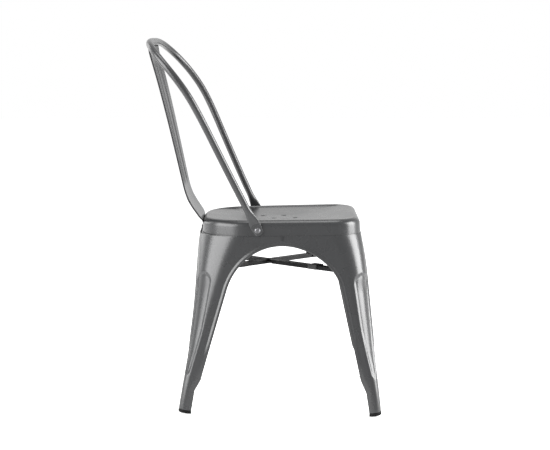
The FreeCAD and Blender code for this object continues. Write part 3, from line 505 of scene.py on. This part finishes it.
def outer_targets(end, split):
    """Where each row ends: up the corner's middle line, then along the top edge."""
    targets = [Vector((0.0, z)) for z in straight_heights()]
    top = top_at(end, 0.0)
    for index in range(1, CORNER_ROWS + 1):
        targets.append(Vector((0.0, SHOULDER + (top - SHOULDER) * index / CORNER_ROWS)))
    for index in range(1, TOP_ROWS + 1):
        t = split * index / TOP_ROWS
        targets.append(Vector((t, top_at(end, t))))
    return targets


def leg_patch(end, axis):
    """Rows of ((t, z), proud) over one of a leg's two faces, from the arch's edge outward."""
    edge = edge_points(end, axis)
    targets = outer_targets(end, edge[-1][0])
    rows = []
    for index, (start, target) in enumerate(zip(edge, targets)):
        before = edge[max(index - 1, 0)]
        after = edge[min(index + 1, len(edge) - 1)]
        direction = (after - before).normalized()
        normal = Vector((direction[1], -direction[0]))
        if normal.dot(target - start) < 0:
            normal = -normal
        if index == len(edge) - 1:
            normal = Vector((0.0, 1.0))
        shrink = min(1.0, (target - start).length * RIM_ROOM / RIM_COLUMNS[-1])
        row = []
        for distance in RIM_COLUMNS:
            spot = start + normal * (distance * shrink)
            row.append((spot, rim(distance, spot[1]) - curl(distance, spot[1])))
        last = row[-1][0]
        for step in range(1, PANEL_COLUMNS + 1):
            spot = last.lerp(target, step / PANEL_COLUMNS)
            row.append((spot, -flute(end, spot[0], spot[1])))
        rows.append(row)
    return rows


def rolled_up(end, side_sign, spot, proud):
    """The place in the chair of a point (t, z) of the unrolled sheet."""
    height = spot[1]
    if height < FOOT_TOP:
        height = slanted(end, corner(end, height).point(spot[0], proud)[1], height)
    across, forward = corner(end, height).point(spot[0], proud)
    return place(side_sign * across, forward, height)


# A foot's rings: points along the sheet, points along the inner corner, and the height
# between two rings that a slanted one is drawn from.
FOOT_STEPS = 32
INNER_STEPS = 12
LEVEL_STEP = 5.0
FOOT_INSET = 0.3
FOOT_LEVELS = (FOOT_LOW + FOOT_INSET, 30.0, 53.0, FOOT_TOP)
# A glide's rings: height, and how far each stands proud of the foot.
GLIDE_LEVELS = ((0.0, -1.6), (0.25, -0.8), (0.9, -0.1), (1.8, 0.3), (FOOT_LOW - 0.8, 0.3),
                (FOOT_LOW, -0.5))


def arch_distance(end, axis, height):
    return between([(z, distance) for distance, z in ARCH[axis, end][0]], height)


def foot_ring(end, height, proud):
    """The closed foot's outline at a height, as (across, forward)."""
    plan = corner(end, height)
    across = arch_distance(end, ACROSS, height)
    forward = arch_distance(end, FORWARD, height)
    side_t = plan.t_at(FORWARD, forward)
    end_t = plan.t_at(ACROSS, across)
    ring = []
    for step in range(FOOT_STEPS + 1):
        t = side_t - (side_t - end_t) * step / FOOT_STEPS
        distance = min(side_t - t, t - end_t)
        ring.append(plan.point(t, proud - curl(distance, height)))
    first, last = ring[0], ring[-1]
    inner = Vector((across, forward))
    inner += (inner - plan.centre).normalized() * proud
    for step in range(1, INNER_STEPS):
        share = step / INNER_STEPS
        ring.append(last.lerp(inner, share).lerp(inner.lerp(first, share), share))
    return ring


def foot_level(end, side_sign, height, proud):
    """The foot's outline at a height, slanted as the foot's end is."""
    level = []
    higher = foot_ring(end, height + LEVEL_STEP, proud)
    for spot, above in zip(foot_ring(end, height, proud), higher):
        lifted = slanted(end, spot[1], height)
        spot = spot.lerp(above, (lifted - height) / LEVEL_STEP)
        level.append(place(side_sign * spot[0], spot[1], lifted))
    return level


def closed_stack(levels):
    """A closed solid through rings of matching points."""
    build = bmesh.new()
    loops = add_rings(build, levels)
    build.faces.new(loops[0])
    build.faces.new(loops[-1])
    bmesh.ops.recalc_face_normals(build, faces=build.faces)
    return build


SHEET = 0.0014


def leg(end, side_sign, node):
    """A leg's sheet, and the closed foot inside its lower end."""
    build = bmesh.new()
    for axis in (FORWARD, ACROSS):
        rows = leg_patch(end, axis)
        add_grid(build, [[rolled_up(end, side_sign, *point) for point in row] for row in rows])
    settle(build, Vector((side_sign, 0.0, 0.0)))
    piece = finished(build, node + "_sheet", node)
    thicken(piece, SHEET, offset=-1.0)
    soften(piece, width=0.0005, degrees=50)
    block = closed_stack([foot_level(end, side_sign, height, -FOOT_INSET) for height in FOOT_LEVELS])
    foot = finished(block, node + "_foot", None)
    soften(foot, width=0.0012, degrees=40)


def foot_glide(end, side_sign, node):
    """The plastic glide capping the foot's slanted end."""
    build = closed_stack([foot_level(end, side_sign, height, proud) for height, proud in GLIDE_LEVELS])
    piece = finished(build, node + "_cap", node)
    piece.data.materials.clear()
    piece.data.materials.append(MATERIALS["glide_plastic"])


# The sitter's right is at -X.
for end in ("front", "rear"):
    for side_name, side_sign in (("right", -1.0), ("left", 1.0)):
        leg(end, side_sign, f"{end}_{side_name}_leg")
        foot_glide(end, side_sign, f"foot_glide_{end}_{side_name}")


# Seat pan, drawn level as (across, forward, height above the rim) and then tilted.
RIM_HEIGHT = 438.6
TILT = math.radians(0.87)
# Forward and rearward reach, half widths at the front and the rear, and the corner radii.
PAN_LOW = (182.0, 180.2, 178.2, 158.4, 64.6, 114.6)
LEDGE = (181.9, 183.6, 178.5, 158.7, 64.6, 114.0)
# The skirt's draft and depth, the depth of the lip inside the legs, and the radius and steps
# of the rolled edge.
PAN_DRAFT = 0.06
SKIRT = 35.0
PAN_LIP = 44.0
PAN_ROLL = 14.0
ROLL_STEPS = 10
PAN_SHEET = 0.0012
# Steps round each corner, and along the four straight runs between the corners.
ARC_STEPS = 16
SIDE_STEPS = (14, 18, 10, 18)
# The rings from the lip up to the skirt: share of the ledge's outline, inset and height.
LEDGE_RINGS = [(1.0, 0.4, -PAN_LIP), (1.0, 0.4, -SKIRT - 1.8), (0.75, 0.0, -SKIRT - 1.2),
               (0.0, 0.0, -SKIRT - 0.9), (0.0, 0.0, -SKIRT + 0.4)]
SKIRT_HEIGHTS = (-30.0, -25.0, -20.0)
# The rim's inner edge: inset from the roll's top, and share of the way down to the dish.
TOP_INSET = PAN_DRAFT * (SKIRT - PAN_ROLL) + PAN_ROLL
LIP_RINGS = ((0.8, 0.06), (1.4, 0.25), (2.0, 0.5), (2.6, 0.75), (3.3, 0.94), (4.5, 1.0))
# The dish: depth, step beside the rim, and its floor's forward and rearward reach and half
# widths at the front and the rear. A higher sharpness gives sharper creases to the corners.
# The step's gain and start say how quickly it grows where the sides take over.
DISH_DEEP = 10.5
DISH_STEP = 2.6
DISH_FLOOR = (34.0, 40.0, 34.0, 28.0)
DISH_SHARPNESS = 9
STEP_GAIN = 3.0
STEP_START = 0.1


def pan_place(across, forward, height):
    turned_forward = forward * math.cos(TILT) - height * math.sin(TILT)
    turned_height = forward * math.sin(TILT) + height * math.cos(TILT)
    return place(across, turned_forward, RIM_HEIGHT + turned_height)


def pan_ring(shape, inset):
    """The rounded trapezium drawn in by inset, as matching points all the way round."""
    front, rear, half_front, half_rear, front_radius, rear_radius = shape
    corners = [Vector((half_front, front)), Vector((half_rear, -rear)),
               Vector((-half_rear, -rear)), Vector((-half_front, front))]
    radii = [front_radius, rear_radius, rear_radius, front_radius]
    arcs = []
    for index, sharp in enumerate(corners):
        before = (corners[index - 1] - sharp).normalized()
        after = (corners[(index + 1) % 4] - sharp).normalized()
        half_angle = before.angle(after) / 2
        radius = radii[index]
        centre = sharp + (before + after).normalized() * (radius / math.sin(half_angle))
        first = (sharp + before * (radius / math.tan(half_angle))) - centre
        last = (sharp + after * (radius / math.tan(half_angle))) - centre
        sweep = first.angle_signed(last)
        arc = []
        for step in range(ARC_STEPS + 1):
            angle = -sweep * step / ARC_STEPS
            turned = Vector((first[0] * math.cos(angle) - first[1] * math.sin(angle),
                             first[0] * math.sin(angle) + first[1] * math.cos(angle)))
            arc.append(centre + turned * ((radius - inset) / radius))
        arcs.append(arc)
    points = []
    for index, arc in enumerate(arcs):
        points.extend(arc)
        target = arcs[(index + 1) % 4][0]
        steps = SIDE_STEPS[index]
        points.extend(arc[-1].lerp(target, step / steps) for step in range(1, steps))
    return points


def pan_half(forward, inset):
    front, rear, half_front, half_rear = PAN_LOW[:4]
    share = (forward + rear) / (front + rear)
    return half_rear + share * (half_front - half_rear) - inset


def dish_shares(across, forward):
    """How far a point lies from the dish's floor towards the rim: over the sides, and over
    the front or the rear."""
    front_floor, rear_floor, half_front, half_rear = DISH_FLOOR
    share = clamp((forward + rear_floor) / (front_floor + rear_floor))
    floor_half = half_rear + share * (half_front - half_rear)
    rim_half = pan_half(forward, TOP_INSET)
    over_side = (abs(across) - floor_half) / (rim_half - floor_half)
    over_front = (forward - front_floor) / (PAN_LOW[0] - TOP_INSET - front_floor)
    over_rear = (-forward - rear_floor) / (PAN_LOW[1] - TOP_INSET - rear_floor)
    return max(over_side, 0.0), max(over_front, over_rear, 0.0)


def dish(across, forward):
    """The dish's height below the rim. Along the sides it ends in a step below the rim."""
    over_side, over_end = dish_shares(across, forward)
    power = DISH_SHARPNESS
    share = min((over_side ** power + over_end ** power) ** (1 / power), 1.0)
    step = smooth((over_side - over_end) * STEP_GAIN + STEP_START)
    return -DISH_DEEP * (1 - share) - DISH_STEP * step * share


# Drain holes as (across, forward), with their radius, the width and depth of their folded
# edge, and the share of the radius inside which a triangle is left out.
DRAINS = [(25.0, -41.6), (25.0, 8.6), (-25.0, -16.0), (-25.0, 34.7)]
DRAIN_RADIUS = 5.0
DRAIN_FOLD = 1.0
DRAIN_SINK = 0.5
DRAIN_OPEN = 0.99
HOLE_STEPS = 28
# The dish's net of triangles: its grid and how far that reaches, the clear widths round a
# hole and inside the rim, and how far up the dish's sides it goes.
DISH_GRID = 7.0
GRID_REACH = 24
DRAIN_CLEAR = 3.0
RIM_CLEAR = 4.0
GRID_SHARE = 0.92
NET_TOLERANCE = 0.001


def drain_distance(spot):
    return min((spot - Vector(drain)).length for drain in DRAINS)


def inside_ring(spot, ring, margin):
    """Whether a spot lies inside a convex ring by at least a margin."""
    for index, point in enumerate(ring):
        along = (ring[(index + 1) % len(ring)] - point).normalized()
        side = along[0] * (spot[1] - point[1]) - along[1] * (spot[0] - point[0])
        if side > -margin:
            return False
    return True


def net_points(ring):
    """The ring, circles round the drain holes and a grid, with the edges that have to stay."""
    flat = list(ring)
    edges = [(index, (index + 1) % len(ring)) for index in range(len(ring))]
    for across, forward in DRAINS:
        first = len(flat)
        for radius in (DRAIN_RADIUS, DRAIN_RADIUS + DRAIN_FOLD):
            for step in range(HOLE_STEPS):
                angle = 2 * math.pi * step / HOLE_STEPS
                flat.append(Vector((across + radius * math.cos(angle), forward + radius * math.sin(angle))))
        edges.extend((first + step, first + (step + 1) % HOLE_STEPS) for step in range(HOLE_STEPS))
    for row in range(-GRID_REACH, GRID_REACH + 1):
        for column in range(-GRID_REACH, GRID_REACH + 1):
            spot = Vector((column * DISH_GRID, row * DISH_GRID))
            clear = drain_distance(spot) >= DRAIN_RADIUS + DRAIN_CLEAR
            within = max(dish_shares(spot[0], spot[1])) < GRID_SHARE
            if within and clear and inside_ring(spot, ring, RIM_CLEAR):
                flat.append(spot)
    return flat, edges


def fill_dish(build, loop, level):
    """The dish inside the last ring, with the four drain holes left out."""
    ring = [Vector((point[0], point[1])) for point in level]
    flat, edges = net_points(ring)
    spots, _, faces, sources = delaunay_2d_cdt(flat, edges, [], 0, NET_TOLERANCE)[:4]
    verts = []
    for spot, source in zip(spots, sources):
        if source and source[0] < len(ring):
            verts.append(loop[source[0]])
            continue
        height = dish(spot[0], spot[1])
        if drain_distance(spot) < DRAIN_RADIUS + DRAIN_FOLD / 2:
            height -= DRAIN_SINK
        verts.append(build.verts.new(pan_place(spot[0], spot[1], height)))
    for face in faces:
        middle = sum((spots[index] for index in face), Vector((0.0, 0.0))) / len(face)
        in_hole = drain_distance(middle) < DRAIN_RADIUS * DRAIN_OPEN
        if not in_hole and inside_ring(middle, ring, 0.0):
            build.faces.new([verts[index] for index in face])


def seat_pan():
    """The pressed pan: a lip inside the legs, a skirt, a rolled edge and the dish."""
    rings = list(LEDGE_RINGS)
    for height in SKIRT_HEIGHTS:
        rings.append((0.0, PAN_DRAFT * (SKIRT + height), height))
    roll_start = PAN_DRAFT * (SKIRT - PAN_ROLL)
    for step in range(ROLL_STEPS + 1):
        angle = math.pi / 2 * step / ROLL_STEPS
        inset = roll_start + PAN_ROLL * (1 - math.cos(angle))
        rings.append((0.0, inset, -PAN_ROLL + PAN_ROLL * math.sin(angle)))
    levels = []
    for blend, inset, height in rings:
        pairs = zip(pan_ring(PAN_LOW, inset), pan_ring(LEDGE, inset))
        points = [near.lerp(far, blend) for near, far in pairs]
        levels.append([(point[0], point[1], height) for point in points])
    for inset, share in LIP_RINGS:
        points = pan_ring(PAN_LOW, TOP_INSET + inset)
        levels.append([(point[0], point[1], dish(point[0], point[1]) * share) for point in points])
    build = bmesh.new()
    loops = add_rings(build, [[pan_place(*point) for point in level] for level in levels])
    fill_dish(build, loops[-1], levels[-1])
    settle(build, Vector((0.0, 0.0, 1.0)))
    piece = finished(build, "seat_pan_sheet", "seat_pan")
    thicken(piece, PAN_SHEET, offset=-1.0)
    soften(piece, width=0.0004, degrees=60)


seat_pan()


# Splat: height, distance behind the seat's middle, half width, and how far its edges stand
# in front of its middle.
SPLAT_STATIONS = [
    (402.6, 180.05, 40.0, 0.0), (408.0, 180.13, 42.0, 0.0), (414.0, 180.22, 46.0, 0.0),
    (419.0, 180.4, 53.0, 0.0), (424.0, 180.9, 65.0, 0.1), (430.0, 182.4, 77.0, 0.3),
    (436.0, 185.6, 83.0, 0.6), (442.0, 189.9, 85.5, 1.0), (450.0, 196.0, 86.5, 1.5),
    (459.0, 202.6, 87.0, 1.9), (467.0, 207.8, 87.0, 2.3), (476.0, 213.2, 86.0, 2.7),
    (488.0, 218.2, 84.8, 3.1), (499.0, 221.8, 84.0, 3.3), (515.4, 226.0, 83.4, 3.6),
    (562.1, 236.8, 83.0, 4.2), (608.6, 247.2, 83.5, 4.4), (655.0, 257.8, 84.2, 4.6),
    (701.3, 268.8, 85.0, 4.8), (747.4, 280.4, 85.6, 5.0), (780.0, 289.2, 86.0, 5.1),
    (807.1, 296.6, 86.3, 5.2), (822.0, 299.4, 86.5, 5.2),
]
SPLAT_END = 828.0
SPLAT_BEND = 500.0
SPLAT_FORWARD = 2.0
SPLAT_SHEET = 0.0014
# The hoop's bolts and crown, between which hoop and splat turn about the upright axis.
BOLT_HIGH = 416.0
CROWN_HIGH = 836.8
HOOP_TURN = math.radians(2.9)
# Ridges: their middles and half width as shares of the splat's half width, and their height,
# span and fade up the splat.
RIDGES = (-0.56, 0.0, 0.56)
RIDGE_HALF = 0.075
RIDGE_HIGH = 1.7
RIDGE_SPAN = (494.0, 806.0)
RIDGE_FADE = 26.0
# The turned-back long edges: their depth, the heights over which they grow, how far they
# spread, and the shares of the depth that have points.
HEM = 3.0
HEM_START = 424.0
HEM_GROWTH = 16.0
HEM_SPREAD = 0.4
HEM_DROPS = (0.25, 0.6, 1.0)
# The splat's mesh: rows below and above its bend, points up each side of a ridge, and points
# across the rest.
BEND_ROWS = 44
STRAIGHT_ROWS = 80
RIDGE_STEPS = 6
FLAT_STEPS = 36
RIDGE_CLEAR = 1.15
LEAN_STEP = 1.0


def splat_value(column, height):
    return spline([(row[0], row[column]) for row in SPLAT_STATIONS], height)


def ridge_distance(share):
    return min(abs(share - middle) for middle in RIDGES)


def ridge(share, height):
    """How far a ridge stands proud of the splat's front."""
    distance = ridge_distance(share)
    if distance >= RIDGE_HALF:
        return 0.0
    inside = min(height - RIDGE_SPAN[0], RIDGE_SPAN[1] - height)
    return smooth(inside / RIDGE_FADE) * RIDGE_HIGH * (0.5 + 0.5 * math.cos(math.pi * distance / RIDGE_HALF))


def splat_shares():
    """Places across the splat, close together on the ridges."""
    steps = range(-RIDGE_STEPS, RIDGE_STEPS + 1)
    fine = {middle + RIDGE_HALF * step / RIDGE_STEPS for middle in RIDGES for step in steps}
    coarse = {2 * step / FLAT_STEPS - 1 for step in range(FLAT_STEPS + 1)}
    return sorted(fine | {share for share in coarse if ridge_distance(share) > RIDGE_HALF * RIDGE_CLEAR})


def splat_row(height, shares):
    """The points across the splat at a height."""
    back, half, bow = (splat_value(column, height) for column in (1, 2, 3))
    above = min(height + LEAN_STEP, SPLAT_END)
    lean = splat_value(1, above) - splat_value(1, above - 2 * LEAN_STEP)
    normal = Vector((2 * LEAN_STEP, lean)).normalized()
    turn = HOOP_TURN * clamp((height - BOLT_HIGH) / (CROWN_HIGH - BOLT_HIGH))
    hem = HEM * smooth((height - HEM_START) / HEM_GROWTH)
    right = [(half + HEM_SPREAD * drop, bow - hem * drop) for drop in HEM_DROPS]
    left = [(-across, lift) for across, lift in reversed(right)]
    middle = [(share * half, bow * share * share + ridge(share, height)) for share in shares]
    row = []
    for across, lift in left + middle + right:
        forward = SPLAT_FORWARD - back + normal[0] * lift + across * turn
        row.append(place(across, forward, height + normal[1] * lift))
    return row


def back_splat():
    """The pressed splat, with its two long edges turned back."""
    low = SPLAT_STATIONS[0][0]
    heights = [low + (SPLAT_BEND - low) * step / BEND_ROWS for step in range(BEND_ROWS)]
    for step in range(STRAIGHT_ROWS + 1):
        heights.append(SPLAT_BEND + (SPLAT_END - SPLAT_BEND) * step / STRAIGHT_ROWS)
    shares = splat_shares()
    build = bmesh.new()
    add_grid(build, [splat_row(height, shares) for height in heights])
    settle(build, Vector((0.0, -1.0, 0.0)))
    piece = finished(build, "back_splat_sheet", "back_splat")
    thicken(piece, SPLAT_SHEET, offset=0.0)
    soften(piece, width=0.0004, degrees=60)


back_splat()


# Floor, light and camera
FLOOR_HALF = 12.0
FLOOR_SHADE = 0.86
FLOOR_ROUGHNESS = 0.9
FLOOR_GLOW = 0.55
WORLD_LEVEL = 0.55


def any_ray(tree, *kinds):
    """1 for a ray of one of these kinds, and 0 for any other."""
    seen = add(tree, "ShaderNodeLightPath")
    result = seen.outputs[kinds[0]]
    for kind in kinds[1:]:
        either = add(tree, "ShaderNodeMath", operation="MAXIMUM")
        tree.links.new(result, either.inputs[0])
        tree.links.new(seen.outputs[kind], either.inputs[1])
        result = either.outputs[0]
    return result


def floor():
    """A pale floor that keeps the chair's shadow and looks white to the camera."""
    mesh = bpy.data.meshes.new("floor")
    mesh.from_pydata([(-FLOOR_HALF, -FLOOR_HALF, 0), (FLOOR_HALF, -FLOOR_HALF, 0),
                      (FLOOR_HALF, FLOOR_HALF, 0), (-FLOOR_HALF, FLOOR_HALF, 0)], [], [(0, 1, 2, 3)])
    plane = bpy.data.objects.new("floor", mesh)
    scene.collection.objects.link(plane)
    material, tree, shader = new_material("floor")
    shader.inputs["Base Color"].default_value = (FLOOR_SHADE, FLOOR_SHADE, FLOOR_SHADE, 1.0)
    shader.inputs["Roughness"].default_value = FLOOR_ROUGHNESS
    glow = add(tree, "ShaderNodeEmission")
    level = add(tree, "ShaderNodeMath", operation="MULTIPLY")
    level.inputs[1].default_value = FLOOR_GLOW
    both = add(tree, "ShaderNodeAddShader")
    tree.links.new(any_ray(tree, "Is Camera Ray", "Is Glossy Ray"), level.inputs[0])
    tree.links.new(level.outputs[0], glow.inputs["Strength"])
    tree.links.new(shader.outputs[0], both.inputs[0])
    tree.links.new(glow.outputs[0], both.inputs[1])
    tree.links.new(both.outputs[0], tree.nodes["Material Output"].inputs["Surface"])
    mesh.materials.append(material)


def world():
    """A plain surround that is white where it is seen."""
    surround = bpy.data.worlds.new("studio")
    scene.world = surround
    surround.use_nodes = True
    tree = surround.node_tree
    tree.nodes.clear()
    plain = add(tree, "ShaderNodeBackground")
    plain.inputs["Strength"].default_value = WORLD_LEVEL
    white = add(tree, "ShaderNodeBackground")
    for background in (plain, white):
        background.inputs["Color"].default_value = (1, 1, 1, 1)
    mix = add(tree, "ShaderNodeMixShader")
    out = add(tree, "ShaderNodeOutputWorld")
    seen = any_ray(tree, "Is Camera Ray", "Is Glossy Ray", "Is Transmission Ray")
    tree.links.new(seen, mix.inputs[0])
    tree.links.new(plain.outputs[0], mix.inputs[1])
    tree.links.new(white.outputs[0], mix.inputs[2])
    tree.links.new(mix.outputs[0], out.inputs[0])


# Softboxes: name, place, the point each looks at, width, height and power.
SOFTBOXES = [
    ("front_softbox", (-0.3, -3.0, 1.3), (0, 0, 0.45), 1.9, 2.2, 222.0),
    ("rear_softbox", (-1.25, 2.7, 1.35), (0, 0, 0.45), 3.0, 2.2, 195.0),
    ("far_softbox", (1.9, 2.3, 1.4), (0, 0, 0.5), 1.6, 2.2, 25.0),
    ("top_softbox", (-0.2, -0.1, 3.4), (0, 0, 0.4), 1.8, 1.8, 48.0),
]


def softbox(name, spot, target, width, height, power):
    data = bpy.data.lights.new(name, "AREA")
    data.shape = "RECTANGLE"
    data.size = width
    data.size_y = height
    data.energy = power
    lamp = bpy.data.objects.new(name, data)
    lamp.location = spot
    lamp.rotation_euler = (Vector(target) - Vector(spot)).to_track_quat("-Z", "Y").to_euler()
    scene.collection.objects.link(lamp)


# The camera as fitted to the photograph: place in metres and angles in radians.
CAMERA_PLACE = (-3.7846, -0.02565, 0.8648)
CAMERA_YAW = 0.0
CAMERA_PITCH = 0.12
CAMERA_ROLL = -0.0011
FOCAL_PIXELS = 1624.1
IMAGE_WIDTH = 550.0
SENSOR_WIDTH = 36.0


def camera():
    data = bpy.data.cameras.new("camera")
    data.sensor_fit = "HORIZONTAL"
    data.sensor_width = SENSOR_WIDTH
    data.lens = FOCAL_PIXELS / IMAGE_WIDTH * SENSOR_WIDTH
    data.clip_end = 100.0
    cam = bpy.data.objects.new("camera", data)
    scene.collection.objects.link(cam)
    scene.camera = cam
    ahead = Vector((math.cos(CAMERA_YAW) * math.cos(CAMERA_PITCH),
                    -math.sin(CAMERA_YAW) * math.cos(CAMERA_PITCH), -math.sin(CAMERA_PITCH)))
    right = Vector((-math.sin(CAMERA_YAW), -math.cos(CAMERA_YAW), 0.0))
    up = right.cross(ahead)
    turned_right = right * math.cos(CAMERA_ROLL) + up * math.sin(CAMERA_ROLL)
    turned_up = up * math.cos(CAMERA_ROLL) - right * math.sin(CAMERA_ROLL)
    axes = Matrix((turned_right, turned_up, -ahead)).transposed()
    cam.matrix_world = Matrix.Translation(CAMERA_PLACE) @ axes.to_4x4()


floor()
world()
for settings in SOFTBOXES:
    softbox(*settings)
camera()
